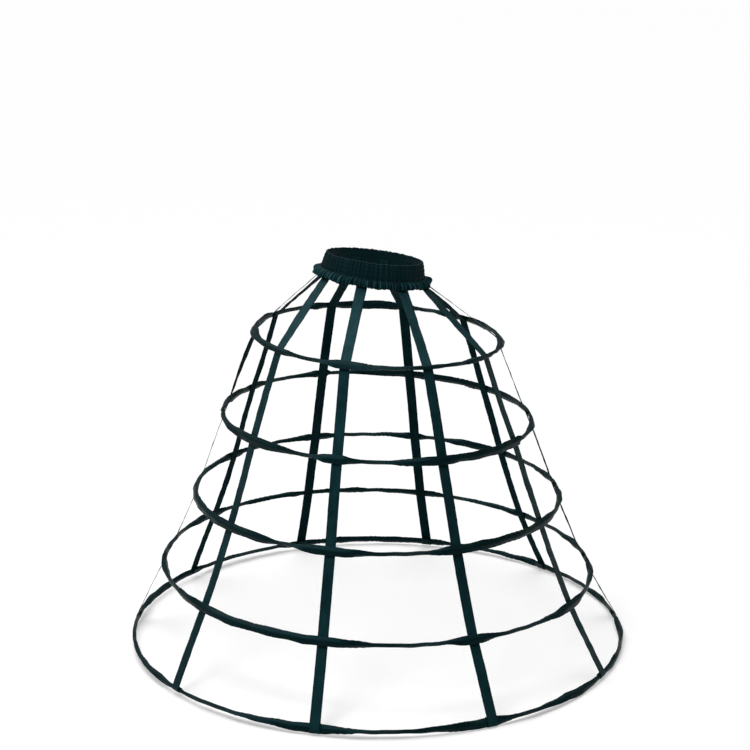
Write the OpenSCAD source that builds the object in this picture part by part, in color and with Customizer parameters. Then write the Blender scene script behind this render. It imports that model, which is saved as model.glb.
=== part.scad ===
// Crinoline cage: five covered steel hoops that hang from a gathered elastic waistband on ten tapes.
// Millimetres, +Z up, origin at the centre of the waist opening, front towards -Y.
// Angles round the cage count from the front, positive towards +X.

/* [Hoops] */
// Diameter of the first hoop below the waist
hoop_1_d = 588; // [520:1:640]
// Diameter of the second hoop
hoop_2_d = 742; // [680:1:790]
// Diameter of the third hoop
hoop_3_d = 883; // [830:1:940]
// Diameter of the fourth hoop
hoop_4_d = 1042; // [980:1:1100]
// Diameter of the bottom hoop
hoop_5_d = 1200; // [1130:1:1280]
// Drop from the waist to the first hoop
hoop_1_drop = 171; // [140:1:200]
// Drop from the first hoop to the second
hoop_2_drop = 198; // [160:1:230]
// Drop from the second hoop to the third
hoop_3_drop = 191; // [160:1:230]
// Drop from the third hoop to the fourth
hoop_4_drop = 184; // [150:1:220]
// Drop from the fourth hoop to the bottom one
hoop_5_drop = 171; // [140:1:210]
// How far the hoops hang to the right of the waist's centre
hoop_drift = 9; // [-20:1:20]

/* [Lean] */
// Lean of the waistband, right side down, in degrees
waist_lean = 7; // [0:0.1:10]
// Lean of the first hoop
hoop_1_lean = 2.9; // [0:0.1:5]
// Lean of the second hoop
hoop_2_lean = 1.9; // [0:0.1:4]
// Lean of the third hoop
hoop_3_lean = 1.1; // [0:0.1:3]
// Lean of the fourth hoop
hoop_4_lean = 1.6; // [0:0.1:3]
// Lean of the bottom hoop
hoop_5_lean = 0.4; // [0:0.1:2]

/* [Steel] */
// Diameter of the spring wire in each hoop
wire_d = 2.2; // [1.6:0.1:2.8]
// Gap between the two ends of a wire, inside its ferrule
wire_gap = 2; // [1:0.5:6]
// Outer diameter of the ferrule that joins the ends of a wire
ferrule_d = 4.2; // [3.6:0.1:4.8]
// Length of a ferrule
ferrule_len = 24; // [14:1:36]
// Play between a wire and the bore of its ferrule
ferrule_play = 0.1; // [0.05:0.05:0.2]
// Place of the ferrules round the cage
ferrule_at = 184; // [178:1:190]

/* [Casings] */
// Flat width of the fabric casing round a hoop
casing_w = 21.5; // [16:0.5:26]
// Thickness of the casing where it lies flat
casing_t = 9; // [7.5:0.5:10]
// Share of its width that the casing keeps in the middle of a half turn
twist_pinch = 0.75; // [0.6:0.05:1]
// How much a half turn of the casing lingers on edge; 0 turns it evenly
twist_hold = 0.5; // [0:0.05:0.8]

/* [Tapes] */
// Width of a tape
tape_w = 25; // [18:0.5:30]
// Thickness of a tape
tape_t = 0.8; // [0.6:0.1:1.2]
// Height of the tape end that is sewn to the inside of the waistband
tape_head_h = 15; // [8:1:24]
// Length of tape that hangs straight below the waistband before it turns outwards
tape_hang = 10; // [9:0.5:14]
// Height of the tape end that is turned up inside the bottom hoop
tape_tail_h = 12; // [6:1:18]

/* [Waistband] */
// Width of the waist opening
waist_w = 228; // [200:1:250]
// Depth of the waist opening
waist_d = 158; // [140:1:200]
// Height of the elastic part of the waistband
band_h = 36; // [34:1:46]
// Thickness of the gathered band
band_t = 6; // [5.5:0.5:8]
// How much further out the foot of the band stands than its top
band_flare = 7.5; // [0:0.5:10]
// Drop of the frill below the band
frill_h = 17; // [12:1:20]
// How far the hem of the frill stands out from the band
frill_flare = 11; // [10:0.5:20]
// How far the puffed top of the frill stands out, as a share of its hem
frill_puff = 1.05; // [0.6:0.05:1.1]
// Thickness of the doubled frill
frill_t = 1.4; // [1:0.1:2]
// Depth of the gathers on the band
band_gather = 0.8; // [0.4:0.1:1.2]
// Depth of the gathers at the hem of the frill
frill_gather = 2.4; // [1.2:0.1:2.8]
// Number of gathers round the waist
gather_count = 66; // [48:1:80]
// Height of the elastic inside the band
elastic_h = 30; // [24:1:32]
// Thickness of the elastic
elastic_t = 1.4; // [1:0.1:2]

/* [Fit] */
// Clearance between pieces that lie on or in each other
clearance = 0.3; // [0.2:0.05:0.4]

/* [Hidden] */
hoop_d = [hoop_1_d, hoop_2_d, hoop_3_d, hoop_4_d, hoop_5_d];
hoop_drop = [hoop_1_drop, hoop_2_drop, hoop_3_drop, hoop_4_drop, hoop_5_drop];
hoop_lean = [hoop_1_lean, hoop_2_lean, hoop_3_lean, hoop_4_lean, hoop_5_lean];
hoop_count = len(hoop_d);
bottom = hoop_count - 1;

// Places of the tapes round the middle hoop and round the waistband, from the front left one on
tape_at = [-51, -14, 24, 60.5, 98, 133, 167, 202, 237, 266];
tape_waist_at = [-61, -11, 35, 73, 98, 133, 167, 201, 234, 262];
// How far each tape moves round the cage on its way from the first hoop to the bottom one
tape_sweep = [1.5, 1.5, 2, 1, 0, 0, 0, -3, -6, -2];
tape_count = len(tape_at);

// Half turns that each casing makes from one tape to the next, in the order of the tapes.
// A fraction is a tilt that is largest half-way and goes back.
casing_turns = [
    [1, -0.15, 1, 1, 0.1, 1, -0.1, 1, 0.1, -0.2],
    [1, 1, 0.1, 1, -0.1, 0.05, 1, 1, 1, 1],
    [1, 1, 0.05, 1, 1, 1, 1, 1, 1, 0.05],
    [0.05, 1, 1, 1, 1, 1, -0.2, 1, 1, -0.3],
    [1, -1, 1, 1, 1, 1, 0.1, -0.2, 1, 1],
];
// Share of each span at which the casing stands on edge
casing_edge_at = [
    [0.5, 0.5, 0.3, 0.3, 0.5, 0.5, 0.5, 0.7, 0.5, 0.5],
    [0.7, 0.35, 0.5, 0.3, 0.5, 0.5, 0.35, 0.3, 0.3, 0.3],
    [0.5, 0.6, 0.5, 0.3, 0.5, 0.7, 0.4, 0.3, 0.3, 0.5],
    [0.5, 0.5, 0.45, 0.35, 0.5, 0.5, 0.5, 0.5, 0.3, 0.5],
    [0.3, 0.45, 0.3, 0.5, 0.5, 0.45, 0.5, 0.5, 0.4, 0.4],
];
// Rings of points per casing between two tapes, and points in one ring
span_rings = 10;
ring_points = 8;
// Share of a span, at each end, where the casing stays flat on its tape
turn_rest = 0.04;
// Irregularity of the gathers, as a share of their depth, and its step in degrees
gather_change = 0.35;
gather_step = 97;
// Sides of the ellipse that the elastic follows
elastic_sides = 40;
// Share of its drop at which the frill is puffed out furthest at the top
puff_drop = 0.3;

// Heights of the hoops, and the bottom edge of the band
function running(v, n) = n < 0 ? 0 : v[n] + running(v, n - 1);
hoop_z = [for (i = [0 : bottom]) -running(hoop_drop, i)];
band_foot = -band_h / 2;
tape_turn_z = band_foot - tape_hang;

// How far the slope of the band takes it out at a height above its middle
function flared(z) = -band_flare * z / band_h;

// Slope of the tapes, from the vertical: one leg above each hoop, and the mean of two legs at a hoop
leg_r = concat([(waist_w + waist_d) / 4 + flared(tape_turn_z)], hoop_d / 2);
leg_z = concat([tape_turn_z], hoop_z);
leg_slope = [for (i = [0 : bottom]) atan2(leg_r[i + 1] - leg_r[i], leg_z[i] - leg_z[i + 1])];
slant = [for (i = [0 : bottom]) i == bottom ? leg_slope[i] : (leg_slope[i] + leg_slope[i + 1]) / 2];

function tape_name(k) = str("tape_", k < 10 ? "0" : "", k);

// A point turned about Y, so that a positive angle lowers the right side
function leaned(p, angle) = [
    p.x * cos(angle) + p.z * sin(angle),
    p.y,
    p.z * cos(angle) - p.x * sin(angle)
];

// A point beside the centre line of hoop i: up along the slope of the tapes and out from it
function beside_hoop(i, at, up, out) =
    let (r = hoop_d[i] / 2 + out * cos(slant[i]) - up * sin(slant[i]))
    [r * sin(at), -r * cos(at), up * cos(slant[i]) + out * sin(slant[i])];

function on_hoop(i, at, up, out) =
    leaned(beside_hoop(i, at, up, out), hoop_lean[i]) + [hoop_drift, 0, hoop_z[i]];

// A point beside the waist opening, out from its edge and above its middle
function on_waist(at, out, z) =
    let (away = out + flared(z))
    leaned([(waist_w / 2 + away) * sin(at), -(waist_d / 2 + away) * cos(at), z], waist_lean);

// Place of tape k on hoop i; the tape after the last one is the first one again
function tape_on(k, i) =
    k == tape_count ? 360 + tape_on(0, i) : tape_at[k] + tape_sweep[k] * (i / bottom - 0.5);

// Half the angle that a tape covers on hoop i, and on the waistband
function tape_half_angle(i) = asin(tape_w / hoop_d[i]);

function waist_half_angle(at) =
    asin(tape_w / 2 / norm([waist_w / 2 * cos(at), waist_d / 2 * sin(at)]));

// Triangles of a skin over rings of n points; a closed skin joins the last ring to the first.
// A paired skin folds both of its broad sides along the same lines, so that it keeps its thickness.
function skin(rings, n, closed, shift = 0, paired = false) = [
    for (r = [0 : rings - (closed ? 1 : 2)])
        let (last = r == rings - 1, next = last ? 0 : r + 1, s = last ? shift : 0)
        for (m = [0 : n - 1])
            let (a = r * n + m, b = r * n + (m + 1) % n)
            let (c = next * n + (m + 1 + s) % n, d = next * n + (m + s) % n)
            each paired && m >= n / 2 ? [[a, b, d], [b, c, d]] : [[a, b, c], [a, c, d]]
];

// Flattened and twisted fabric tube round each hoop
function held(t) = t <= 0 ? 0 : t >= 1 ? 1 : t + twist_hold * sin(360 * t) / (2 * PI);

function half_turns(i) = [for (turns = casing_turns[i]) round(turns)];

function turned_before(i, k) = 180 * running(half_turns(i), k - 1);

function casing_ring(i, k, t) =
    let (start = tape_on(k, i) + tape_half_angle(i))
    let (end = tape_on(k + 1, i) - tape_half_angle(i))
    let (at = start + (end - start) * (t + (2 - 4 * casing_edge_at[i][k]) * (t * t - t)))
    let (turn = held((t - turn_rest) / (1 - 2 * turn_rest)))
    let (whole = half_turns(i)[k], tilt = casing_turns[i][k] - whole)
    let (roll = turned_before(i, k) + 180 * (whole * turn + tilt * sin(180 * t)))
    let (keep = 1 - abs(whole) * (1 - twist_pinch) * sin(180 * turn))
    [
        for (m = [0 : ring_points - 1])
            let (angle = -360 * m / ring_points)
            let (up = keep * casing_w / 2 * cos(angle), out = casing_t / 2 * sin(angle))
            beside_hoop(i, at, up * cos(roll) - out * sin(roll), up * sin(roll) + out * cos(roll))
    ];

module hang_hoop(i)
    translate([hoop_drift, 0, hoop_z[i]])
        rotate([0, hoop_lean[i], 0])
            children();

// Arc of a hoop's round section that is centred on a place round the cage
module hoop_arc(i, at, angle)
    rotate([0, 0, at - 90 - angle / 2])
        rotate_extrude(angle = angle, $fn = 180)
            translate([hoop_d[i] / 2, 0])
                children();

function arc_angle(i, length) = 360 * length / (PI * hoop_d[i]);

module hoop_casing(i) {
    rings = [
        for (k = [0 : tape_count - 1], j = [0 : span_rings - 1])
            casing_ring(i, k, j / (span_rings - 1))
    ];
    shift = running(half_turns(i), tape_count - 1) % 2 == 0 ? 0 : ring_points / 2;
    color("#16262a")
        hang_hoop(i)
            difference() {
                polyhedron([for (ring = rings) each ring], skin(len(rings), ring_points, true, shift));
                hoop_arc(i, 0, 360)
                    circle(d = wire_d + 2 * clearance, $fn = 48);
                hoop_arc(i, ferrule_at, arc_angle(i, ferrule_len + 2 * clearance))
                    circle(d = ferrule_d + 2 * clearance, $fn = 48);
            }
}

module hoop_wire(i)
    color("silver")
        hang_hoop(i)
            hoop_arc(i, ferrule_at + 180, 360 - arc_angle(i, wire_gap))
                circle(d = wire_d, $fn = 48);

module hoop_ferrule(i)
    color("goldenrod")
        hang_hoop(i)
            hoop_arc(i, ferrule_at, arc_angle(i, ferrule_len))
                difference() {
                    circle(d = ferrule_d, $fn = 48);
                    circle(d = wire_d + 2 * ferrule_play, $fn = 48);
                }

// Flat tape: sewn inside the waistband, inside the upper hoops, then outside and round the bottom one
function tape_waist_ring(k, outer, inner) =
    let (at = tape_waist_at[k], half = waist_half_angle(at))
    [
        on_waist(at - half, outer.x, outer.y),
        on_waist(at + half, outer.x, outer.y),
        on_waist(at + half, inner.x, inner.y),
        on_waist(at - half, inner.x, inner.y)
    ];

function tape_hoop_ring(k, i, outer, inner) =
    let (at = tape_on(k, i), half = tape_half_angle(i))
    [
        on_hoop(i, at - half, outer.x, outer.y),
        on_hoop(i, at + half, outer.x, outer.y),
        on_hoop(i, at + half, inner.x, inner.y),
        on_hoop(i, at - half, inner.x, inner.y)
    ];

// Point of the wrap round a flat casing: 0 degrees is outside, 90 below and 180 inside
function wrap_point(angle, away) =
    [-(casing_w / 2 + away) * sin(angle), (casing_t / 2 + away) * cos(angle)];

function tape_rings(k) =
    let (face = -clearance, back = -clearance - tape_t)
    let (seat = -casing_t / 2 - clearance)
    let (near = clearance, far = clearance + tape_t)
    concat(
        [tape_waist_ring(k, [face, band_foot + tape_head_h], [back, band_foot + tape_head_h])],
        [tape_waist_ring(k, [face, tape_turn_z], [back, tape_turn_z - tape_t / 2])],
        [for (i = [0 : bottom - 1]) tape_hoop_ring(k, i, [0, seat], [0, seat - tape_t])],
        [for (a = [0 : 45 : 180]) tape_hoop_ring(k, bottom, wrap_point(a, far), wrap_point(a, near))],
        [tape_hoop_ring(k, bottom, [tape_tail_h, seat - tape_t], [tape_tail_h, seat])]
    );

module tape(k) {
    rings = tape_rings(k);
    last = 4 * len(rings) - 4;
    ends = [[3, 2, 1], [3, 1, 0], [last, last + 1, last + 2], [last, last + 2, last + 3]];
    color("#24484e")
        polyhedron(
            [for (ring = rings) each ring],
            concat(skin(len(rings), 4, false, paired = true), ends)
        );
}

// Gathered band with a frilled lower edge, sewn as a channel round the elastic
function gather_depth(c) = (c % 2 == 0 ? 1 : -1) * (1 + gather_change * sin(c * gather_step));

function band_ring(c) =
    let (at = 180 * c / gather_count, g = gather_depth(c))
    let (ripple = band_gather * g, seam = band_t - 2 * band_gather)
    let (hem = band_t + frill_flare + frill_gather * g, hem_z = band_foot - frill_h)
    let (puff = seam + frill_puff * (hem - seam), puff_z = band_foot - puff_drop * frill_h)
    [
        on_waist(at, 0, band_foot),
        on_waist(at, puff - frill_t, puff_z - frill_t),
        on_waist(at, hem - frill_t, hem_z),
        on_waist(at, hem, hem_z + frill_t / 2),
        on_waist(at, puff, puff_z),
        on_waist(at, seam + ripple / 2, band_foot),
        on_waist(at, band_t + ripple, 0),
        on_waist(at, seam + ripple / 2, band_h / 2),
        on_waist(at, 0, band_h / 2)
    ];

// Flat loop that lies in the band and follows its slope
module waist_loop(inner, outer, height) {
    rings = [
        for (s = [0 : elastic_sides - 1])
            let (at = 360 * s / elastic_sides)
            [
                on_waist(at, inner, -height / 2),
                on_waist(at, outer, -height / 2),
                on_waist(at, outer, height / 2),
                on_waist(at, inner, height / 2)
            ]
    ];
    polyhedron([for (ring = rings) each ring], skin(len(rings), len(rings[0]), true));
}

elastic_in = (band_t - elastic_t) / 2 - band_gather;

module waistband() {
    rings = [for (c = [0 : 2 * gather_count - 1]) band_ring(c)];
    color("#0c1c20")
        difference() {
            polyhedron([for (ring = rings) each ring], skin(len(rings), len(rings[0]), true));
            waist_loop(
                elastic_in - clearance,
                elastic_in + elastic_t + clearance,
                elastic_h + 2 * clearance
            );
        }
}

module waist_elastic()
    color("#2c2c2c")
        waist_loop(elastic_in, elastic_in + elastic_t, elastic_h);

waistband();
waist_elastic();
for (k = [0 : tape_count - 1])
    tape(k);
for (i = [0 : bottom]) {
    hoop_casing(i);
    hoop_wire(i);
    hoop_ferrule(i);
}
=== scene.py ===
import bpy
import numpy as np
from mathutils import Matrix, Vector


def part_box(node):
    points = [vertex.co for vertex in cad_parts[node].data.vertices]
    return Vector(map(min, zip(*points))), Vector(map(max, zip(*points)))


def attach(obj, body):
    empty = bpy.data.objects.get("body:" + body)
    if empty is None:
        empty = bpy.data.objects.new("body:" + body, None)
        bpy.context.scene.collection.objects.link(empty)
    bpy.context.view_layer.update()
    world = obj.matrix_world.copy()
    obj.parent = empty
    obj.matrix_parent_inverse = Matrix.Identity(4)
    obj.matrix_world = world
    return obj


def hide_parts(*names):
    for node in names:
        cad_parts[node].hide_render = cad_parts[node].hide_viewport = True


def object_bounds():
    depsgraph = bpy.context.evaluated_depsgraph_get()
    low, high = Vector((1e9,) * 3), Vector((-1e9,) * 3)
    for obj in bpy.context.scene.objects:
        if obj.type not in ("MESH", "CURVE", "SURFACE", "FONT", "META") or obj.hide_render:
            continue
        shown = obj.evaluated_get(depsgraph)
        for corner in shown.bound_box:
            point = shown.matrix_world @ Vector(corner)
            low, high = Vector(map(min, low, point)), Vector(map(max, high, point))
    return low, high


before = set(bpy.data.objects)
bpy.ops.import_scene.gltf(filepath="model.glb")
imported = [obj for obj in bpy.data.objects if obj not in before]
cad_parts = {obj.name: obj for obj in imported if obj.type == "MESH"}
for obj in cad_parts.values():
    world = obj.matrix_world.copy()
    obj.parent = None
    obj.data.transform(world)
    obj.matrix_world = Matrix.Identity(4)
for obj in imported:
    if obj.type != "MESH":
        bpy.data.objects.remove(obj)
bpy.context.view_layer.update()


# Waist elastic
# A flat loop of black knitted elastic that runs inside the waistband and gathers it.
# It is hidden by the satin, so the solid stays and takes the ribbed look of knitted elastic.
RIB_PITCH, RIB_H = 0.0016, 0.0003


def add_node(tree, kind, **settings):
    """New node of a shader tree; a setting names an input socket or, failing that, a property."""
    made = tree.nodes.new(kind)
    for name, value in settings.items():
        if name in made.inputs:
            made.inputs[name].default_value = value
        else:
            setattr(made, name, value)
    return made


def calc(tree, operation, *values):
    """Output of a new Math node; a value is a number or the output of another node."""
    made = add_node(tree, "ShaderNodeMath", operation=operation)
    for socket, value in zip(made.inputs, values):
        if isinstance(value, (int, float)):
            socket.default_value = value
        else:
            tree.links.new(value, socket)
    return made.outputs[0]


def axes_of(tree, place):
    """Outputs X, Y and Z of a place."""
    axes = add_node(tree, "ShaderNodeSeparateXYZ")
    tree.links.new(place, axes.inputs[0])
    return axes.outputs


def noise(tree, place, scale, detail):
    """Irregular value from 0 to 1 over a surface, so many waves to the metre."""
    made = add_node(tree, "ShaderNodeTexNoise", Scale=scale, Detail=detail)
    tree.links.new(place, made.inputs["Vector"])
    return made.outputs["Fac"]


def new_material(name):
    """New material with its tree and its one shader."""
    material = bpy.data.materials.new(name)
    material.use_nodes = True
    return material, material.node_tree, material.node_tree.nodes["Principled BSDF"]


def coloured(tree, shader, share, first, second):
    """Takes a surface from the first colour to the second as a share goes from 0 to 1."""
    mix = add_node(tree, "ShaderNodeMix", data_type="RGBA", clamp_factor=False)
    tree.links.new(share, mix.inputs["Factor"])
    # Several sockets of this node share a name, so those for colours go by their number
    mix.inputs[6].default_value = (*first, 1)
    mix.inputs[7].default_value = (*second, 1)
    tree.links.new(mix.outputs[2], shader.inputs["Base Color"])


def roughened(tree, shader, share, low, high):
    """Takes the roughness of a surface from low to high as a share goes from 0 to 1."""
    rough = calc(tree, "MULTIPLY_ADD", share, high - low, low)
    tree.links.new(rough, shader.inputs["Roughness"])


def bumped(tree, shader, height, distance):
    """Lets a height output raise the surface by up to a distance in metres."""
    bump = add_node(tree, "ShaderNodeBump", Strength=0.6, Distance=distance)
    tree.links.new(height, bump.inputs["Height"])
    tree.links.new(bump.outputs["Normal"], shader.inputs["Normal"])


def knitted_elastic():
    material, tree, shader = new_material("knitted_elastic")
    place = add_node(tree, "ShaderNodeTexCoord").outputs["Object"]
    height = axes_of(tree, place)["Z"]
    rib = calc(tree, "SINE", calc(tree, "MULTIPLY", height, 2 * np.pi / RIB_PITCH))
    share = calc(tree, "MULTIPLY_ADD", rib, 0.5, 0.5)
    # Painted shade and highlight: the grooves between the ribs are coloured darker and the ribs
    # lighter, following the bump
    coloured(tree, shader, share, (0.008, 0.009, 0.010), (0.030, 0.031, 0.033))
    fuzz = noise(tree, place, scale=900, detail=2)
    roughened(tree, shader, fuzz, 0.7, 0.95)
    bumped(tree, shader, share, RIB_H)
    return material


def finish_node(name, material):
    """Gives a solid that stays in view its finish."""
    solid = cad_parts[name]
    solid.data.materials.clear()
    solid.data.materials.append(material)


finish_node("waist_elastic", knitted_elastic())


# Waistband
# One strip of dark teal satin, folded into a channel round the elastic and shirred by four rows
# of stitching. Below the lowest row its doubled edge stands out as a puffed frill.
WAIST_W, WAIST_D = 0.228, 0.158
WAIST_LEAN = np.radians(7)
BAND_H, BAND_T, BAND_FLARE = 0.036, 0.006, 0.0075
BAND_FOOT = -BAND_H / 2
BAND_STEPS, BAND_FACE_POINTS = 1400, 19
FRILL_H, FRILL_T = 0.017, 0.0014
SHIRR_ROWS = np.array([0.0145, 0.0055, -0.0040, -0.0135])
GATHERS = 70
# How far folds and ribs stand out on the band and on the frill, and how far its pleats rise
BAND_FOLD, BAND_RIB = 0.0022, 0.0003
FRILL_FOLD, FRILL_RIB, FRILL_RISE = 0.0070, 0.0008, 0.0034
# The frill flips up at the two sides, where the waist bends most: place, reach and strength
FRILL_FLIPS = [(np.radians(93), 0.15, 1), (np.radians(267), 0.17, 0.8)]
FLIP_OUT, FLIP_UP = 0.0030, 0.0085
# The upper edge rises slowly to where the two ends of the strip overlap in front
OVERLAP_AT, OVERLAP_RUN, OVERLAP_STEP = np.radians(350), np.radians(50), 0.0014


def leaned(points, angle):
    """Points turned about Y, so that a positive angle lowers the right side."""
    x, y, z = np.moveaxis(points, -1, 0)
    turned_x = x * np.cos(angle) + z * np.sin(angle)
    turned_z = z * np.cos(angle) - x * np.sin(angle)
    return np.stack([turned_x, y, turned_z], -1)


def on_waist(at, out, z):
    """Points out from the edge of the waist opening and above the middle of the band."""
    away = out - BAND_FLARE * z / BAND_H
    x = (WAIST_W / 2 + away) * np.sin(at)
    y = -(WAIST_D / 2 + away) * np.cos(at)
    return leaned(np.stack(np.broadcast_arrays(x, y, z), -1), WAIST_LEAN)


def smooth_step(value):
    value = np.clip(value, 0, 1)
    return value * value * (3 - 2 * value)


def wander(turn, waves, seed):
    """Smooth irregular value, about -1 to 1, with so many waves in a turn of 2 pi, where it
    closes."""
    chance = np.random.default_rng(seed)
    total, usual_height = 0, 2.2
    for share in (0.55, 0.8, 1.0, 1.35, 1.7):
        count = max(1, round(waves * share))
        total = total + np.cos(count * turn + chance.uniform(0, 2 * np.pi))
    return total / usual_height


def cloth_grid(name, across, along):
    """Flat grid of cloth, one metre square, and the shares across it and along it of each of its
    points."""
    bpy.ops.object.select_all(action="DESELECT")
    bpy.ops.mesh.primitive_grid_add(x_subdivisions=across, y_subdivisions=along, size=1)
    piece = bpy.context.object
    piece.name = piece.data.name = name
    places = np.empty(3 * len(piece.data.vertices), np.float32)
    piece.data.vertices.foreach_get("co", places)
    places = places.reshape(-1, 3).astype(float) + 0.5
    return piece, places[:, 0], places[:, 1]


def move_points(piece, points):
    piece.data.vertices.foreach_set("co", np.asarray(points, np.float32).ravel())
    piece.data.update()
    bpy.ops.object.shade_smooth()


def measure_map(piece, across, along):
    """Scales a piece's UV map to metres, across the cloth and along it."""
    layer = piece.data.uv_layers.active
    flat = np.empty(2 * len(layer.data), np.float32)
    layer.data.foreach_get("uv", flat)
    flat = flat.reshape(-1, 2) * (across, along)
    layer.data.foreach_set("uv", flat.astype(np.float32).ravel())


def ring_of_cloth(name, points, painted_highlight, shift=0):
    """Closed ring over points that run round it first and round its section second: a grid whose
    opposite edges are brought together and merged, its end so many points further round the
    section than its start. The painted highlight, 0 to 1, marks where folds are coloured lighter,
    as if they caught the light."""
    around, section = points.shape[:2]
    piece, across, along = cloth_grid(name, section, around)
    closing, row = np.divmod(np.rint(along * around).astype(int), around)
    column = (shift * closing - np.rint(across * section).astype(int)) % section
    move_points(piece, points[row, column])
    mark = piece.data.attributes.new("painted_highlight", "FLOAT", "POINT")
    mark.data.foreach_set("value", np.clip(painted_highlight, 0, 1)[row, column].astype(np.float32))
    bpy.ops.object.mode_set(mode="EDIT")
    bpy.ops.mesh.select_all(action="SELECT")
    bpy.ops.mesh.remove_doubles(threshold=1e-7)
    bpy.ops.object.mode_set(mode="OBJECT")
    return piece


def satin_weave():
    """Node group for satin: the height of its weave, in which each thread floats over four and
    dips under the fifth, and streaks along the floating threads."""
    ends, step, dip_depth = 5, 2, 0.2
    streaks_across, streaks_along = 520, 22
    group = bpy.data.node_groups.new("satin_weave", "ShaderNodeTree")
    group.interface.new_socket("Vector", in_out="INPUT", socket_type="NodeSocketVector")
    group.interface.new_socket("Thread", in_out="INPUT", socket_type="NodeSocketFloat")
    group.interface.new_socket("Height", in_out="OUTPUT", socket_type="NodeSocketFloat")
    group.interface.new_socket("Streak", in_out="OUTPUT", socket_type="NodeSocketFloat")
    start = group.nodes.new("NodeGroupInput").outputs
    end = group.nodes.new("NodeGroupOutput").inputs
    axes = axes_of(group, start["Vector"])
    warp = calc(group, "DIVIDE", axes["X"], start["Thread"])
    ridge = calc(group, "ABSOLUTE", calc(group, "SINE", calc(group, "MULTIPLY", warp, np.pi)))
    pick = calc(group, "DIVIDE", axes["Y"], calc(group, "MULTIPLY", start["Thread"], ends))
    stepped = calc(group, "MULTIPLY_ADD", calc(group, "FLOOR", warp), step / ends, pick)
    dip = calc(group, "SINE", calc(group, "MULTIPLY", stepped, 2 * np.pi))
    dipped = calc(group, "MULTIPLY_ADD", dip, dip_depth, 1 - dip_depth)
    height = calc(group, "MULTIPLY", ridge, dipped)
    stretched = add_node(group, "ShaderNodeCombineXYZ")
    for axis, streaks in (("X", streaks_across), ("Y", streaks_along)):
        group.links.new(calc(group, "MULTIPLY", axes[axis], streaks), stretched.inputs[axis])
    group.links.new(height, end["Height"])
    group.links.new(noise(group, stretched.outputs[0], scale=1, detail=3), end["Streak"])
    return group


SATIN_WEAVE = satin_weave()


def satin(name, deep, lit, roughness, gloss, selvedge=None):
    """Dark satin: its colour and roughness change along the threads and in slow patches, and its
    colour is lighter where a piece carries a painted highlight. A selvedge is the width of the
    cloth, in metres, along whose two edges the colour is darker."""
    thread, thread_h = 0.00045, 0.00008
    contrast, uneven, selvedge_share, highlight_gain = 1.6, 0.08, 0.22, 7.5
    material, tree, shader = new_material(name)
    coordinates = add_node(tree, "ShaderNodeTexCoord").outputs
    weave = add_node(tree, "ShaderNodeGroup", node_tree=SATIN_WEAVE, Thread=thread)
    tree.links.new(coordinates["UV"], weave.inputs["Vector"])
    streak = weave.outputs["Streak"]
    patches = noise(tree, coordinates["Object"], scale=14, detail=3)
    both = calc(tree, "ADD", streak, patches)
    share = calc(tree, "MULTIPLY_ADD", both, contrast, 0.5 - contrast)
    share.node.use_clamp = True
    if selvedge:
        across = axes_of(tree, coordinates["UV"])["X"]
        off_centre = calc(tree, "ABSOLUTE", calc(tree, "SUBTRACT", across, selvedge / 2))
        fall = -2 / (selvedge_share * selvedge)
        inside = calc(tree, "MULTIPLY_ADD", off_centre, fall, 1 / selvedge_share)
        inside.node.use_clamp = True
        share = calc(tree, "MULTIPLY", share, inside)
    # Painted highlight: where a piece carries it, the colour goes towards and past the light one
    painted_highlight = add_node(tree, "ShaderNodeAttribute", attribute_name="painted_highlight").outputs["Fac"]
    share = calc(tree, "MULTIPLY_ADD", painted_highlight, highlight_gain, share)
    coloured(tree, shader, share, deep, lit)
    roughened(tree, shader, streak, roughness - uneven, roughness + uneven)
    shader.inputs["Specular IOR Level"].default_value = gloss
    shader.inputs["Specular Tint"].default_value = (0.20, 0.85, 1.0, 1)
    bumped(tree, shader, weave.outputs["Height"], thread_h)
    return material


def frill_curve(share, side):
    """Points (out, z) down the puffed frill from its seam to its hem, on one side of its
    thickness."""
    seam, swell = (0.0038, BAND_FOOT), (0.0098, -0.0185)
    puff, hem = (0.0190, -0.0225), (0.0158, BAND_FOOT - FRILL_H)
    a, b, c, d = np.array([seam, swell, puff, hem])[:, None, :]
    t = np.asarray(share)[:, None]
    curve = (1 - t) ** 3 * a + 3 * t * (1 - t) ** 2 * b + 3 * t * t * (1 - t) * c + t ** 3 * d
    along = 3 * (1 - t) ** 2 * (b - a) + 6 * t * (1 - t) * (c - b) + 3 * t * t * (d - c)
    along /= np.linalg.norm(along, axis=1, keepdims=True)
    return curve + side * FRILL_T / 2 * np.stack([along[:, 1], -along[:, 0]], 1)


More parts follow.
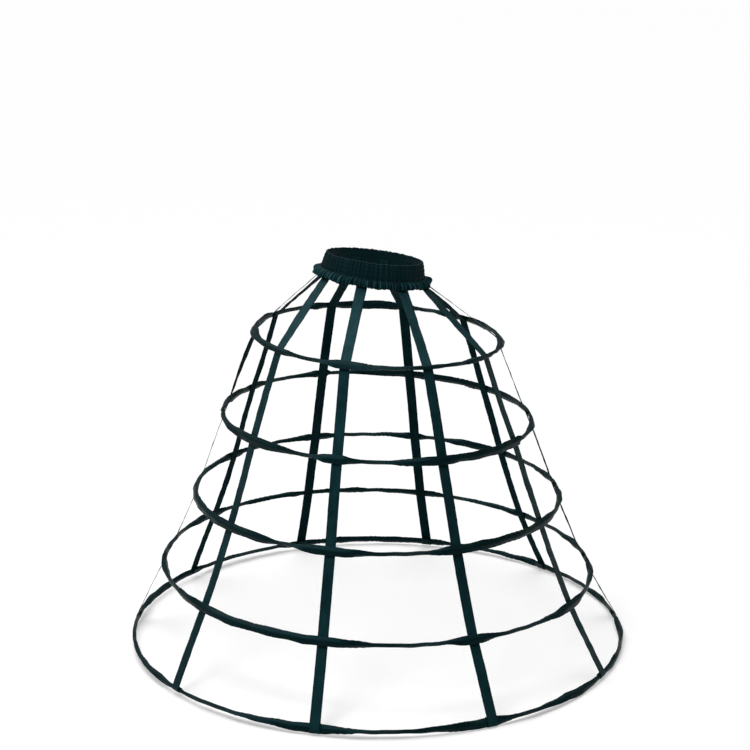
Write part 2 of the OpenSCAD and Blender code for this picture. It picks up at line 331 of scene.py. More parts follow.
def band_section():
    """Closed section of the waistband, from the foot of its outer face upwards and round, as
    points (out, z), with each point's share in the gathers of the band and of the frill."""
    crown, row_depth, row_reach, row_hold = 0.0012, 0.0009, 0.0015, 0.55
    face_z = np.linspace(BAND_FOOT, BAND_H / 2, BAND_FACE_POINTS)
    pinch = np.exp(-((face_z[:, None] - SHIRR_ROWS) / row_reach) ** 2).sum(1)
    face_out = BAND_T - crown * (2 * face_z / BAND_H) ** 2 - row_depth * pinch
    face = np.stack([face_out, face_z], 1)
    rim_half, rim_rise, rim_share = 0.0024, 0.0012, 0.8
    rim_points, back_points, down_points, up_points = 4, 9, 11, 13
    turn = np.linspace(0, np.pi, rim_points + 2)[1:-1]
    rim_out = rim_half + rim_half * np.cos(turn)
    rim = np.stack([rim_out, BAND_H / 2 + rim_rise * np.sin(turn)], 1)
    back_z = np.linspace(BAND_H / 2, BAND_FOOT, back_points)
    back = np.stack([0 * back_z, back_z], 1)
    frill_start, frill_ease = 0.08, 0.4
    down = np.linspace(frill_start, 1, down_points)
    up = np.linspace(1, frill_start, up_points)
    section = np.concatenate([face, rim, back, frill_curve(down, 1), frill_curve(up, -1)])
    ungathered = np.zeros(back_points + down_points + up_points)
    on_band = np.concatenate([1 - row_hold * pinch, np.full(rim_points, rim_share), ungathered])
    above_frill = np.zeros(BAND_FACE_POINTS + rim_points + back_points)
    on_frill = np.concatenate([above_frill, down, up]) ** frill_ease
    return section, on_band, on_frill


def uneven_folds(at):
    """Count of folds up to each place round the waist, and the height of the fold there, for
    folds of uneven width and depth."""
    chance = np.random.default_rng(7)
    width_range, depth_range = (0.65, 1.35), (0.5, 1.5)
    widths = chance.uniform(*width_range, GATHERS)
    edges = np.concatenate([[0], np.cumsum(widths)]) * 2 * np.pi / widths.sum()
    phase = np.interp(at, edges, np.arange(GATHERS + 1))
    depth = chance.uniform(*depth_range, GATHERS)
    depth = np.interp(phase, np.arange(GATHERS) + 0.5, depth, period=GATHERS)
    sharpness, mean_height = 0.7, 0.66
    return phase, (np.abs(np.sin(np.pi * phase)) ** sharpness - mean_height) * depth


def gathered_points(section, on_band, on_frill):
    """Points of the gathered band and frill, round the waist first and round the section second,
    and the painted highlight on the crests of their folds."""
    at = np.linspace(0, 2 * np.pi, BAND_STEPS, endpoint=False)
    phase, fold = uneven_folds(at)
    # Three fine ribs to a fold, and in the frill smaller pleats and slow waves
    rib = np.cos(2 * np.pi * 3 * phase + 1.5 * wander(at, 30, 8))
    pleat = 0.6 * fold + 0.26 * wander(at, 110, 14)
    band_out = BAND_FOLD * fold + BAND_RIB * rib
    frill_out = FRILL_FOLD * pleat + FRILL_RIB * rib + 0.0010 * wander(at, 17, 10)
    frill_up = FRILL_RISE * pleat + 0.0014 * wander(at, 12, 11)
    out = section[:, 0] + on_band * band_out[:, None]
    out = out + on_frill * frill_out[:, None]
    z = section[:, 1] + on_frill ** 3 * frill_up[:, None]
    flip = sum(strength * np.exp(-((at - place) / reach) ** 2)
               for place, reach, strength in FRILL_FLIPS)
    out = out + on_frill * (FLIP_OUT * flip)[:, None]
    z = z + on_frill ** 2 * (FLIP_UP * flip)[:, None]
    # The upper edge waves a little, and steps at the overlap
    lift = smooth_step((at - OVERLAP_AT + OVERLAP_RUN) / OVERLAP_RUN)
    lift = lift * smooth_step((OVERLAP_AT - at) / 0.02 + 1)
    edge_up = OVERLAP_STEP * lift + 0.0005 * wander(at, 35, 12) + 0.0007 * fold
    upper = smooth_step((section[:, 1] - BAND_H / 6) / (BAND_H / 3))
    z = z + upper * edge_up[:, None]
    # The pleats of the frill lean to either side
    lean = wander(at, 40, 9) * 0.0016 + np.sin(2 * np.pi * phase + 1) * 0.0008
    girth = WAIST_D / 2 + 0.02
    turned = at[:, None] + on_frill * (lean / girth)[:, None]
    # Painted highlight: some pleats are coloured lighter on their crests than others, as if they
    # caught more light
    pleat_highlight = 0.35 + 0.65 * smooth_step(0.5 + 0.8 * wander(at, 38, 15))
    painted_highlight = smooth_step(pleat / 0.28 - 0.05) * pleat_highlight
    return on_waist(turned, out, z), painted_highlight[:, None] * (on_frill ** 2 + 0.08 * on_band)


def gathered_band(material):
    section, on_band, on_frill = band_section()
    points, painted_highlight = gathered_points(section, on_band, on_frill)
    piece = ring_of_cloth("waistband_satin", points, painted_highlight)
    # The strip is folded double, so the closed mesh is two layers of it
    doubled_w, fullness = 0.062, 1.45
    round_the_waist = np.pi * (WAIST_W + WAIST_D) / 2
    measure_map(piece, 2 * doubled_w, fullness * round_the_waist)
    piece.data.materials.append(material)
    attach(piece, "root")
    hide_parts("waistband")
    face_z = section[:BAND_FACE_POINTS, 1]
    return [points[:, np.argmin(np.abs(face_z - row))] for row in SHIRR_ROWS]


WAISTBAND_SATIN = satin("waistband_satin", (0.0009, 0.0044, 0.0056), (0.0034, 0.0145, 0.0170),
                        roughness=0.46, gloss=0.12)
SHIRR_LINES = gathered_band(WAISTBAND_SATIN)


# Spring wires and ferrules
# Each hoop is a length of drawn spring steel wire, whose two ends meet in a short crimped brass
# tube. Both are hidden in the casing, so the solids stay and only take their finish.
HOOPS = range(1, 6)


def drawn_metal(name, dull, bright, roughness):
    material, tree, shader = new_material(name)
    place = add_node(tree, "ShaderNodeTexCoord").outputs["Object"]
    tarnish = noise(tree, place, scale=60, detail=4)
    scratches = noise(tree, place, scale=1400, detail=1)
    coloured(tree, shader, tarnish, dull, bright)
    roughened(tree, shader, scratches, roughness - 0.08, roughness + 0.12)
    shader.inputs["Metallic"].default_value = 1
    bumped(tree, shader, scratches, distance=0.00003)
    return material


SPRING_STEEL = drawn_metal("spring_steel", (0.30, 0.31, 0.32), (0.58, 0.59, 0.60), 0.32)
FERRULE_BRASS = drawn_metal("ferrule_brass", (0.36, 0.25, 0.10), (0.66, 0.49, 0.22), 0.36)
for number in HOOPS:
    finish_node(f"hoop_wire_{number}", SPRING_STEEL)
    finish_node(f"hoop_ferrule_{number}", FERRULE_BRASS)


# Hoop casings
# A loose tube of dark satin covers each wire. It lies flat where it is sewn to a tape, is twisted
# by half turns from one tape to the next, and creases on the slant as it twists.
WIRE_D = 0.0022
CASING_W, CASING_T = 0.0215, 0.009
CASING_STEPS, CASING_SECTION = 1300, 24
TWIST_PINCH, TURN_REST = 0.75, 0.04
CREASE_PITCH, CREASE_SLANT, CREASE_H = 0.0145, 0.017, 0.0006
PUCKER_PITCH, PUCKER_SLANT, PUCKER_H = 0.0072, 0.030, 0.0002
TAPE_W, TAPE_HANG = 0.025, 0.010
TAPE_AT = np.radians([-51, -14, 24, 60.5, 98, 133, 167, 202, 237, 266])
# How far each tape moves round the cage from the first hoop to the bottom one
TAPE_SWEEP = np.radians([1.5, 1.5, 2, 1, 0, 0, 0, -3, -6, -2])
# Half turns of each casing between tapes, where a fraction is a tilt that goes back
CASING_TURNS = np.array([
    [1, -0.3, 1, 1, 0.1, 1, 0.25, 1, 0.2, -0.25],
    [1, 1, 0.15, 1, 0, 0, 1, 1, 1, 1],
    [1, 1, 0.15, 1, 0.85, 1, 1, 1, 1, 0],
    [-0.15, 1, 1, 1, 0.85, 1, -0.1, 1, 1, 0.45],
    [1, -1, 1, 1, 0.85, 1, 0, -0.35, 1, 1],
])
# Share of each span at which the casing stands on edge
CASING_EDGE_AT = np.array([
    [0.5, 0.6, 0.3, 0.27, 0.5, 0.4, 0.3, 0.3, 0.7, 0.5],
    [0.7, 0.3, 0.3, 0.3, 0.45, 0.3, 0.7, 0.27, 0.7, 0.3],
    [0.65, 0.6, 0.7, 0.7, 0.27, 0.7, 0.27, 0.27, 0.3, 0.3],
    [0.35, 0.6, 0.4, 0.65, 0.27, 0.27, 0.3, 0.4, 0.3, 0.3],
    [0.3, 0.36, 0.27, 0.7, 0.27, 0.3, 0.3, 0.65, 0.7, 0.55],
])
# How much each half turn lingers on edge; below 0 it turns over quickly
CASING_HOLD = np.array([
    [0.6, 0, -0.6, -0.5, 0, 0, 0, -0.9, 0, 0],
    [-0.6, 0, 0, 0.5, 0, 0, 0.3, 0.7, -0.9, 0.5],
    [-0.9, 0.5, 0, 0.6, -0.9, -0.3, 0.6, 0.7, 0.5, 0],
    [0, 0.6, 0.6, 0.6, -0.9, 0.8, 0, 0.8, -0.9, 0],
    [0.6, 0.1, -0.3, -0.6, -0.9, 0.6, 0, 0, 0.6, 0.3],
])
# Crossings, by hoop and tape, where the casing isn't sewn on flat: the share of its width to
# which it is bunched there, and its roll in half turns
BUNCHED = {
    (1, 1): (0.70, 0), (1, 3): (0.50, 0), (1, 4): (0.50, 0),
    (1, 5): (1, -0.15), (1, 10): (1, -0.10),
    (2, 5): (0.85, 0.08), (2, 10): (1, -0.18),
    (3, 5): (0.85, 0.10), (3, 9): (0.90, 0.12), (3, 10): (1, -0.17),
    (4, 5): (0.90, 0.10), (4, 8): (0.65, 0), (4, 9): (0.90, 0.12), (4, 10): (1, -0.20),
    (5, 1): (0.45, 0), (5, 4): (0.50, 0), (5, 9): (0.80, 0.12),
}
BUNCH_REACH, FREE_REACH = 0.08, 0.03


def hoop_rings():
    """Radius, lean and centre of each hoop from its wire, and of the tapes that cross it their
    slope, half their width as an angle, and their places."""
    rings = []
    for number in HOOPS:
        low, high = (np.array(corner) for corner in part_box(f"hoop_wire_{number}"))
        radius = (high[1] - low[1] - WIRE_D) / 2
        lean = np.arcsin((high[2] - low[2] - WIRE_D) / (2 * radius))
        rings.append({"radius": radius, "lean": lean, "centre": (low + high) / 2})
    turn_z = BAND_FOOT - TAPE_HANG
    turn_r = (WAIST_W + WAIST_D) / 4 - BAND_FLARE * turn_z / BAND_H
    leg_r = [turn_r] + [ring["radius"] for ring in rings]
    leg_z = [turn_z] + [ring["centre"][2] for ring in rings]
    above = np.arctan2(np.diff(leg_r), -np.diff(leg_z))
    below = np.append(above[1:], above[-1])
    for index, ring in enumerate(rings):
        ring["slant"] = (above[index] + below[index]) / 2
        ring["half"] = np.arcsin(TAPE_W / 2 / ring["radius"])
        ring["tapes"] = TAPE_AT + TAPE_SWEEP * (index / (len(rings) - 1) - 0.5)
    return rings


RINGS = hoop_rings()


def on_hoop(ring, at, up, out):
    """Points beside a hoop's centre line: up along the slope of the tapes and out from it."""
    r = ring["radius"] + out * np.cos(ring["slant"]) - up * np.sin(ring["slant"])
    z = up * np.cos(ring["slant"]) + out * np.sin(ring["slant"])
    points = np.stack(np.broadcast_arrays(r * np.sin(at), -r * np.cos(at), z), -1)
    return leaned(points, ring["lean"]) + ring["centre"]


def rolled(up, out, roll):
    """Up and out of a point of a casing after the casing rolls about its wire."""
    return up * np.cos(roll) - out * np.sin(roll), up * np.sin(roll) + out * np.cos(roll)


def bunching(index, k):
    """Share of its width that a casing keeps on a tape, and its roll there in half turns."""
    return BUNCHED.get((index + 1, k + 1), (1, 0))


def casing_twist(index, at):
    """Roll of the casing at each place round a hoop, the share of its width that it keeps, and
    how free it is of the tapes, from 0 on a tape to 1 between two."""
    ring = RINGS[index]
    ends = np.append(ring["tapes"], ring["tapes"][0] + 2 * np.pi)
    span = np.searchsorted(ends, at, side="right") - 1
    room = ends[span + 1] - ends[span] - 2 * ring["half"]
    place = np.clip((at - ends[span] - ring["half"]) / room, 0, 1)
    # Place in the span is t + skew * (t * t - t), so that the edge comes where it is wanted
    skew = 2 - 4 * CASING_EDGE_AT[index][span]
    t = 2 * place / (1 - skew + np.sqrt((1 - skew) ** 2 + 4 * skew * place))
    turn = np.clip((t - TURN_REST) / (1 - 2 * TURN_REST), 0, 1)
    turn = turn + CASING_HOLD[index][span] * np.sin(2 * np.pi * turn) / (2 * np.pi)
    whole = np.rint(CASING_TURNS[index])
    tilt = (CASING_TURNS[index] - whole)[span] * np.sin(np.pi * t)
    before = np.append(0, np.cumsum(whole))[span]
    roll = np.pi * (before + whole[span] * turn + tilt)
    keep = 1 - np.abs(whole[span]) * (1 - TWIST_PINCH) * np.sin(np.pi * turn)
    for k, tape_at in enumerate(ring["tapes"]):
        bunch, tip = bunching(index, k)
        off = np.abs((at - tape_at + np.pi) % (2 * np.pi) - np.pi) * ring["radius"]
        near = np.exp(-(off / BUNCH_REACH) ** 2)
        keep = keep * (1 - (1 - bunch) * near)
        roll = roll + np.pi * tip * near
    free = smooth_step(np.minimum(place, 1 - place) * room * ring["radius"] / FREE_REACH)
    return roll, keep, free


def casing_height(up, free):
    """Half thickness of the casing: a soft ridge over the wire between two thin flanges."""
    ridge, flange, ridge_w = 0.0042 + 0.0006 * free, 0.0016, 0.0062
    return flange + (ridge - flange) * np.exp(-(up / ridge_w) ** 2)


def waving_edge(at, length, swing_l, pucker_l, seed):
    """Share by which one edge of a casing goes in and out, in long swings and short puckers."""
    swing = wander(at, length / swing_l, seed)
    pucker = wander(at, length / pucker_l, seed + 1)
    return 0.07 * swing + 0.015 * pucker


def casing_points(index, at, length):
    """Points of a twisted casing, round the hoop first and round the section second, and the
    painted highlight on the crests of its creases."""
    ring = RINGS[index]
    seed = 100 * (index + 1)
    roll, keep, free = casing_twist(index, at)
    sewn_give = 0.12
    loose = sewn_give + (1 - sewn_give) * free
    angle = np.linspace(0, 2 * np.pi, CASING_SECTION, endpoint=False)
    upper = 1 + loose * waving_edge(at, length, swing_l=0.13, pucker_l=0.026, seed=seed)
    lower = 1 + loose * waving_edge(at, length, swing_l=0.15, pucker_l=0.023, seed=seed + 2)
    edge = np.where(np.sin(angle) > 0, upper[:, None], lower[:, None])
    up = CASING_W / 2 * keep[:, None] * edge * np.sin(angle)
    bluntness = 0.65
    blunt = np.sign(np.cos(angle)) * np.abs(np.cos(angle)) ** bluntness
    out = casing_height(up / keep[:, None], free[:, None]) * blunt
    # Creases run on the slant, deeper away from the wire, and come and go along the hoop
    patch_l = 0.14
    patch = smooth_step(0.5 + 0.7 * wander(at, length / patch_l, seed + 4))[:, None]
    slant = np.sign(np.gradient(roll) + 1e-9)[:, None]
    away = np.abs(up) / (CASING_W / 2)
    along = (at * ring["radius"])[:, None]
    shift = 0.4 * wander(at, 25, seed + 5)[:, None]
    drift = 0.5 * wander(at, 31, seed + 6)[:, None]
    crease = np.sin(2 * np.pi * (along / CREASE_PITCH + slant * up / CREASE_SLANT + shift))
    pucker = np.sin(2 * np.pi * (along / PUCKER_PITCH - up / PUCKER_SLANT + drift))
    folds = patch * away ** 0.7 * (CREASE_H * crease + PUCKER_H * pucker)
    out = out + loose[:, None] * folds
    # Painted highlight: the raised crests of the creases are coloured lighter, as if they caught
    # the light
    painted_highlight = 0.18 * patch * away * smooth_step(crease - 0.3)

    def sway(amount, wave_l, draw):
        """How far the cloth, which rides loosely on its wire, moves to and fro round the hoop."""
        return (loose * amount * wander(at, length / wave_l, seed + draw))[:, None]

    up = up + sway(0.0006, wave_l=0.11, draw=7)
    out = out + sway(0.0005, wave_l=0.09, draw=8)
    roll = roll[:, None] + sway(0.10, wave_l=0.12, draw=9)
    return on_hoop(ring, at[:, None], *rolled(up, out, roll)), painted_highlight


def twisted_casing(index, material):
    ring = RINGS[index]
    number = index + 1
    at = ring["tapes"][0] + np.linspace(0, 2 * np.pi, CASING_STEPS, endpoint=False)
    length = 2 * np.pi * ring["radius"]
    points, painted_highlight = casing_points(index, at, length)
    # After an odd number of half turns its two faces change places where the casing closes
    swapped = int(np.rint(CASING_TURNS[index]).sum()) % 2
    shift = swapped * CASING_SECTION // 2
    piece = ring_of_cloth(f"hoop_casing_satin_{number}", points, painted_highlight, shift)
    flat_w, fullness = 0.0245, 1.04
    measure_map(piece, 2 * flat_w, fullness * length)
    piece.data.materials.append(material)
    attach(piece, "root")
    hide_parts(f"hoop_casing_{number}")


CASING_SATIN = satin("casing_satin", (0.0011, 0.0052, 0.0060), (0.0043, 0.0175, 0.0198),
                     roughness=0.46, gloss=0.10)
for index in range(len(RINGS)):
    twisted_casing(index, CASING_SATIN)


# Tapes
# Ten flat satin tapes with woven edges carry the hoops. Each is sewn inside the waistband, inside
# the four upper hoops, then passes outside the bottom hoop, round it, and ends turned up inside.
TAPE_T, TAPE_GAP = 0.0008, 0.0003
# From the cloth that a tape lies on, and from a hoop's centre line, to the middle of the tape
TAPE_IN = TAPE_GAP + TAPE_T / 2
TAPE_SEAT = CASING_T / 2 + TAPE_IN
TAPE_HEAD_H, TAPE_TAIL_H = 0.015, 0.012
TAPE_STEP, TAPE_ACROSS, TAPE_ALONG = 0.0025, 8, 420
TAPE_WAIST_AT = np.radians([-61, -11, 35, 73, 98, 133, 167, 201, 234, 262])
# Twist of each tape between the waist and the first hoop, in degrees, and the most below that
TOP_TWIST = [-8, 4, -6, 8, -4, -7, 5, -4, -6, 3]
LEG_TWIST = 3
# The last tape turns away once more just below the first hoop
LAST_TWIST = 22
# How far a tape bows out or in between two hoops
TAPE_SLACK = (0.0005, 0.0022)
RIPPLE_H, CUP_H, EDGE_WAVE = 0.0003, 0.0005, 0.004


def tape_edges(ring, k, up, out):
    """Left and right edge of a tape beside a hoop."""
    return [on_hoop(ring, ring["tapes"][k] + side * ring["half"], up, out) for side in (-1, 1)]


def tape_stations(k):
    """Left and right edge of a tape at its waist end, its turn, each hoop, the wrap and its tail,
    and the number of the station at which the wrap begins."""
    at = TAPE_WAIST_AT[k]
    reach = np.hypot(WAIST_W / 2 * np.cos(at), WAIST_D / 2 * np.sin(at))
    half = np.arcsin(TAPE_W / 2 / reach)
    heights = [BAND_FOOT + TAPE_HEAD_H, BAND_FOOT - TAPE_HANG]
    pairs = [[on_waist(at + side * half, -TAPE_IN, z) for side in (-1, 1)] for z in heights]
    pairs += [tape_edges(ring, k, 0, -TAPE_SEAT) for ring in RINGS[:-1]]
    wrap_start = len(pairs)
    bottom = RINGS[-1]
    bunch, _ = bunching(len(RINGS) - 1, k)
    wrap_h = bunch * CASING_W / 2 + TAPE_IN
    for turn in np.linspace(0, np.pi, 13):
        pairs.append(tape_edges(bottom, k, -wrap_h * np.sin(turn), TAPE_SEAT * np.cos(turn)))
    pairs.append(tape_edges(bottom, k, bunch * TAPE_TAIL_H, -TAPE_SEAT))
    return np.array(pairs), wrap_start


def tape_path(k):
    """Close points along a tape: the middle, half its width as a vector, and the length so far."""
    chance = np.random.default_rng(300 + k)
    pairs, wrap_start = tape_stations(k)
    middles, halves = pairs.mean(1), (pairs[:, 1] - pairs[:, 0]) / 2
    middle, across = [], []
    for leg in range(len(pairs) - 1):
        span = np.linalg.norm(middles[leg + 1] - middles[leg])
        t = np.linspace(0, 1, max(2, int(span / TAPE_STEP)), endpoint=False)[:, None]
        centre = middles[leg] * (1 - t) + middles[leg + 1] * t
        half = halves[leg] * (1 - t) + halves[leg + 1] * t
        if 1 <= leg < wrap_start:
            along = (middles[leg + 1] - middles[leg]) / span
            swell = np.sin(np.pi * t)
            twist = TOP_TWIST[k] if leg == 1 else chance.uniform(-LEG_TWIST, LEG_TWIST)
            turn = np.radians(twist) * swell ** 1.5
            if k == len(TAPE_AT) - 1 and leg == 2:
                turn = np.radians(LAST_TWIST) * np.sin(np.pi * t ** 0.45)
            side = np.cross(along, half)
            half = half * np.cos(turn) + side * np.sin(turn)
            normal = side / np.linalg.norm(side, axis=1, keepdims=True)
            slack = chance.uniform(*TAPE_SLACK)
            bow = 1 if leg == 1 else chance.choice([-1, 1])
            centre = centre + normal * slack * swell * bow
        middle.append(centre)
        across.append(half)
    middle = np.concatenate(middle + [middles[-1:]])
    across = np.concatenate(across + [halves[-1:]])
    # Cloth can't make a sharp corner, so the turn below the waistband is rounded off
    corner, round_reach, passes = middles[1], 0.012, 12
    near = np.linalg.norm(middle - corner, axis=1) < round_reach
    for _ in range(passes):
        eased = middle.copy()
        eased[1:-1] = (middle[:-2] + 2 * middle[1:-1] + middle[2:]) / 4
        middle = np.where(near[:, None], eased, middle)
    so_far = np.append(0, np.cumsum(np.linalg.norm(np.diff(middle, axis=0), axis=1)))
    return middle, across, so_far


def along_tape(place, so_far, vectors):
    """Vectors that are known at lengths along a tape, read at other lengths along it."""
    return np.stack([np.interp(place, so_far, vectors[:, axis]) for axis in range(3)], -1)


def tape_points(k, path, side, place):
    """Points of a rippled tape at shares of its half width and lengths along it."""
    middle, across, so_far = path
    centre = along_tape(place, so_far, middle)
    half = along_tape(place, so_far, across)
    along = along_tape(place, so_far, np.gradient(middle, so_far, axis=0))
    normal = np.cross(along, half)
    normal /= np.linalg.norm(normal, axis=1, keepdims=True)
    # Soft ripples that run out where the tape is sewn to a hoop or to the band
    seams = [on_hoop(ring, ring["tapes"][k], 0, 0) for ring in RINGS] + [middle[0]]
    off_seam = np.min([np.linalg.norm(centre - seam, axis=1) for seam in seams], axis=0)
    sewn_reach, ease = 0.012, 0.05
    free = smooth_step((off_seam - sewn_reach) / ease)
    turn = 2 * np.pi * place / so_far[-1]
    ripple = RIPPLE_H * (wander(turn, 16, 400 + k) * side + wander(turn, 24, 420 + k))
    cup = CUP_H * (side ** 2 - 0.4) * wander(turn, 7, 440 + k)
    edge = 1 + EDGE_WAVE * wander(turn, 60, 460 + k) * np.abs(side)
    return centre + half * (side * edge)[:, None] + normal * (free * (ripple + cup))[:, None]


def dull_back(piece, side_faces):
    """Gives the side of a tape that looks into the cage its second material, the dull back of the
    satin. The faces of the two sides come one side after the other, and its edges come last."""
    count = len(piece.data.polygons)
    middles, normals = np.empty(3 * count, np.float32), np.empty(3 * count, np.float32)
    piece.data.polygons.foreach_get("center", middles)
    piece.data.polygons.foreach_get("normal", normals)
    outward = (middles.reshape(-1, 3) * normals.reshape(-1, 3))[:side_faces, :2].sum(1)
    first = 0 if np.median(outward) < 0 else side_faces
    worn = np.zeros(count, np.int32)
    worn[first:first + side_faces] = 1
    piece.data.polygons.foreach_set("material_index", worn)


def satin_tape(k, face, back):
    number = k + 1
    path = tape_path(k)
    length = path[-1][-1]
    piece, across, along = cloth_grid(f"tape_satin_{number:02d}", TAPE_ACROSS, TAPE_ALONG)
    move_points(piece, tape_points(k, path, 2 * across - 1, along * length))
    measure_map(piece, TAPE_W, length)
    side_faces = len(piece.data.polygons)
    bpy.ops.object.modifier_add(type="SOLIDIFY")
    solidify = piece.modifiers[-1]
    solidify.thickness = TAPE_T
    solidify.offset = 0
    bpy.ops.object.modifier_apply(modifier=solidify.name)
    piece.data.materials.append(face)
    piece.data.materials.append(back)
    dull_back(piece, side_faces)
    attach(piece, "root")
    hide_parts(f"tape_{number:02d}")
    return path


TAPE_SATIN = satin("tape_satin", (0.0026, 0.0135, 0.0155), (0.0085, 0.0400, 0.0460),
                   roughness=0.46, gloss=0.11, selvedge=TAPE_W)
TAPE_BACK = satin("tape_satin_back", (0.0026, 0.0135, 0.0155), (0.0103, 0.0480, 0.0550),
                  roughness=0.77, gloss=0.034, selvedge=TAPE_W)
TAPE_PATHS = [satin_tape(k, TAPE_SATIN, TAPE_BACK) for k in range(len(TAPE_AT))]


# Stitching
# Dark teal sewing thread. Four rows shirr the waistband, two short rows hold each tape to each of
# the upper hoops, and one row above the bottom hoop closes the tape that is wrapped round it.
STITCH_L, STITCH_D = 0.0026, 0.0006
SHIRR_STITCHES, ROW_STITCHES = 190, 6
# Rows lie so far above and below the upper hoops, and above the bottom casing
ROW_OFF, BOTTOM_ROW_OFF = 0.006, 0.004
ROW_SIDES = np.linspace(-0.8, 0.8, ROW_STITCHES)
# A small step along or off the cloth, which gives its direction there
PROBE = 0.001


def sewing_thread():
    material, tree, shader = new_material("sewing_thread")
    place = add_node(tree, "ShaderNodeTexCoord").outputs["Object"]
    strands = noise(tree, place, scale=2500, detail=2)
    coloured(tree, shader, strands, (0.0010, 0.0050, 0.0060), (0.0060, 0.0220, 0.0250))
    roughened(tree, shader, strands, 0.5, 0.75)
    shader.inputs["Specular IOR Level"].default_value = 0.2
    bumped(tree, shader, strands, distance=0.00005)
    return material


def sew(name, rows, material):
    """Stitches of one piece of sewing: copies of a small bead, each drawn out along its row and
    half sunk in the cloth. A row is the middles of its stitches, their directions and the normals
    of the cloth."""
    middles, along, normals = (np.concatenate(part) for part in zip(*rows))
    bpy.ops.object.select_all(action="DESELECT")
    bpy.ops.mesh.primitive_uv_sphere_add(segments=6, ring_count=4, radius=1)
    piece = bpy.context.object
    piece.name = piece.data.name = name
    bead = np.empty(3 * len(piece.data.vertices), np.float32)
    piece.data.vertices.foreach_get("co", bead)
    bead = bead.reshape(1, -1, 3, 1)
    bpy.ops.object.modifier_add(type="ARRAY")
    copies = piece.modifiers[-1]
    copies.count = len(middles)
    bpy.ops.object.modifier_apply(modifier=copies.name)
    along = along / np.linalg.norm(along, axis=1, keepdims=True)
    sideways = np.cross(normals, along)
    sideways /= np.linalg.norm(sideways, axis=1, keepdims=True)
    normals = np.cross(along, sideways)
    drawn = np.stack([along * STITCH_L, sideways * STITCH_D, normals * STITCH_D], 1)[:, None] / 2
    move_points(piece, (middles[:, None] + (bead * drawn).sum(2)).reshape(-1, 3))
    piece.data.materials.append(material)
    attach(piece, "root")


def shirring():
    """Rows of stitches round the waistband."""
    rows = []
    for line in SHIRR_LINES:
        spots = (np.arange(SHIRR_STITCHES) * len(line) / SHIRR_STITCHES).astype(int)
        ahead = np.roll(line, -3, axis=0) - np.roll(line, 3, axis=0)
        rows.append((line[spots], ahead[spots], np.cross(ahead, (0, 0, 1))[spots]))
    return rows


def length_to(path, goal):
    """Length along a tape to its point nearest to a goal."""
    middle, _, so_far = path
    return so_far[np.argmin(np.linalg.norm(middle - goal, axis=1))]


def row_on_tape(path, place, facing):
    """Row of stitches across a tape, on the side that faces outwards, 1, or inwards, -1."""
    middle, across, so_far = path
    spot = along_tape(place, so_far, middle)
    half = along_tape(place, so_far, across)
    ahead = along_tape(place + PROBE, so_far, middle) - spot
    face = np.cross(ahead, half)
    face *= facing * np.sign(face[:2] @ spot[:2]) / np.linalg.norm(face)
    stitches = spot + half * ROW_SIDES[:, None] + face * TAPE_T / 2
    return stitches, np.tile(half, (ROW_STITCHES, 1)), np.tile(face, (ROW_STITCHES, 1))


def row_on_casing(index, k, off):
    """Row of stitches on the outside of a casing, so far above its middle, where it crosses a
    tape."""
    ring = RINGS[index]
    bunch, tip = bunching(index, k)
    places = ring["tapes"][k] + ring["half"] * ROW_SIDES
    out = casing_height(abs(off), 0)
    row, raised = (on_hoop(ring, places, *rolled(bunch * off, out + lift, np.pi * tip))
                   for lift in (0, PROBE))
    return row, np.gradient(row, axis=0), raised - row


def crossings():
    """Rows across each tape, above and below each upper hoop, on the inside of the tape and on
    the outside of the casing, and one row on the outside of the tape above the bottom hoop."""
    rows = []
    for k, path in enumerate(TAPE_PATHS):
        for index, ring in enumerate(RINGS[:-1]):
            crossing = length_to(path, on_hoop(ring, ring["tapes"][k], 0, -TAPE_SEAT))
            for off in (-ROW_OFF, ROW_OFF):
                rows.append(row_on_tape(path, crossing + off, -1))
                rows.append(row_on_casing(index, k, off))
        bottom = RINGS[-1]
        casing_top = on_hoop(bottom, bottom["tapes"][k], CASING_W / 2, TAPE_SEAT)
        rows.append(row_on_tape(path, length_to(path, casing_top) - BOTTOM_ROW_OFF, 1))
    return rows


SEWING_THREAD = sewing_thread()
sew("waistband_stitches", shirring(), SEWING_THREAD)
sew("hoop_stitches", crossings(), SEWING_THREAD)


# Floor and light
# A plain pale floor under the bottom hoop, a soft light from above, a soft lamp at the upper
# left, and an even white sky.
FLOOR_W, FLOOR_GREY, FLOOR_PALE, FLOOR_GLOW = 120, 0.18, 0.75, 0.31
OVERHEAD_TURN, OVERHEAD_SPREAD, OVERHEAD_ENERGY = np.radians([-13, -14, 0]), np.radians(70), 2.3
LAMP_AT, LAMP_AIM = Vector((-0.55, -1.15, 0.95)), Vector((0, 0, -0.30))
LAMP_D, LAMP_ENERGY = 0.7, 12
SKY_STRENGTH = 0.22

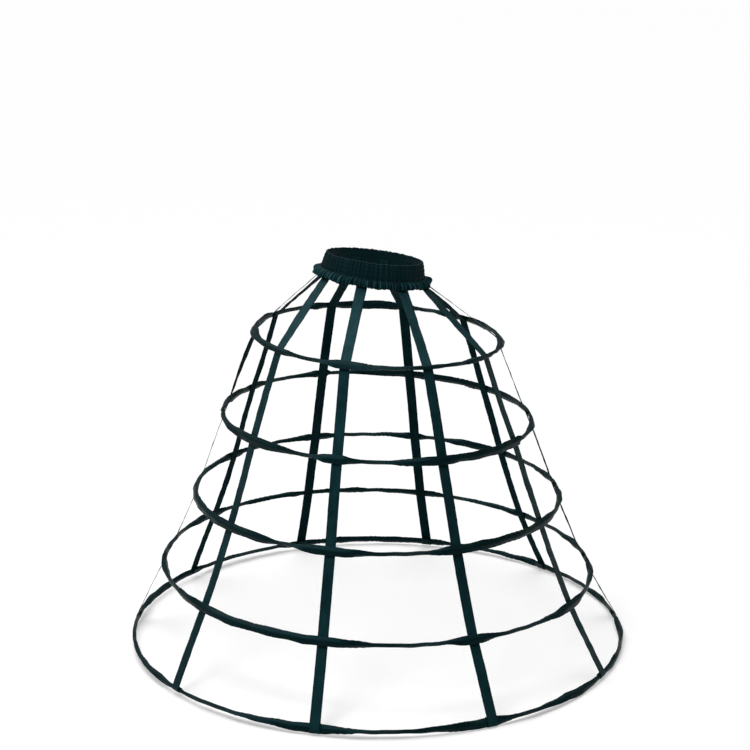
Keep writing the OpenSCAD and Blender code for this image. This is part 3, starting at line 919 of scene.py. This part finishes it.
bpy.ops.object.select_all(action="DESELECT")
bpy.ops.mesh.primitive_plane_add(size=FLOOR_W, location=(0, 0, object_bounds()[0][2]))
floor = bpy.context.object
floor.name = "floor"
floor_paint, floor_tree, floor_shader = new_material("pale_floor")
rays = add_node(floor_tree, "ShaderNodeLightPath").outputs
seen = calc(floor_tree, "ADD", rays["Is Camera Ray"], rays["Is Glossy Ray"])
seen = calc(floor_tree, "ADD", seen, rays["Is Transmission Ray"])
coloured(floor_tree, floor_shader, seen, [FLOOR_GREY] * 3, [FLOOR_PALE] * 3)
glow = calc(floor_tree, "MULTIPLY", seen, FLOOR_GLOW)
floor_tree.links.new(glow, floor_shader.inputs["Emission Strength"])
floor_shader.inputs["Emission Color"].default_value = (1, 1, 1, 1)
floor_shader.inputs["Roughness"].default_value = 0.9
floor_shader.inputs["Specular IOR Level"].default_value = 0.1
floor.data.materials.append(floor_paint)

bpy.ops.object.light_add(type="SUN", rotation=OVERHEAD_TURN)
overhead = bpy.context.object
overhead.name = "overhead_light"
overhead.data.energy = OVERHEAD_ENERGY
overhead.data.angle = OVERHEAD_SPREAD

bpy.ops.object.light_add(type="AREA", location=LAMP_AT)
lamp = bpy.context.object
lamp.name = "soft_lamp"
lamp.data.shape = "DISK"
lamp.data.size = LAMP_D
lamp.data.energy = LAMP_ENERGY
lamp.rotation_euler = (LAMP_AIM - LAMP_AT).to_track_quat("-Z", "Y").to_euler()

sky = bpy.data.worlds.new("white_sky")
bpy.context.scene.world = sky
sky.use_nodes = True
sky.node_tree.nodes["Background"].inputs["Color"].default_value = (1, 1, 1, 1)
sky.node_tree.nodes["Background"].inputs["Strength"].default_value = SKY_STRENGTH
bpy.context.scene.view_settings.view_transform = "Standard"


# Camera
# It stands in front of the cage and a little above the waist, and looks down on the hoops.
CAMERA_AT = (0.009, -4.534, 1.014)
CAMERA_DOWN, CAMERA_LEFT = np.radians(15.83), np.radians(0.08)
CAMERA_LENS, CAMERA_FILM_W = 94.4, 36

camera_data = bpy.data.cameras.new("camera")
camera_data.lens = CAMERA_LENS
camera_data.sensor_width = CAMERA_FILM_W
camera = bpy.data.objects.new("camera", camera_data)
camera.location = CAMERA_AT
camera.rotation_euler = (np.pi / 2 - CAMERA_DOWN, 0, CAMERA_LEFT)
bpy.context.collection.objects.link(camera)
bpy.context.scene.camera = camera
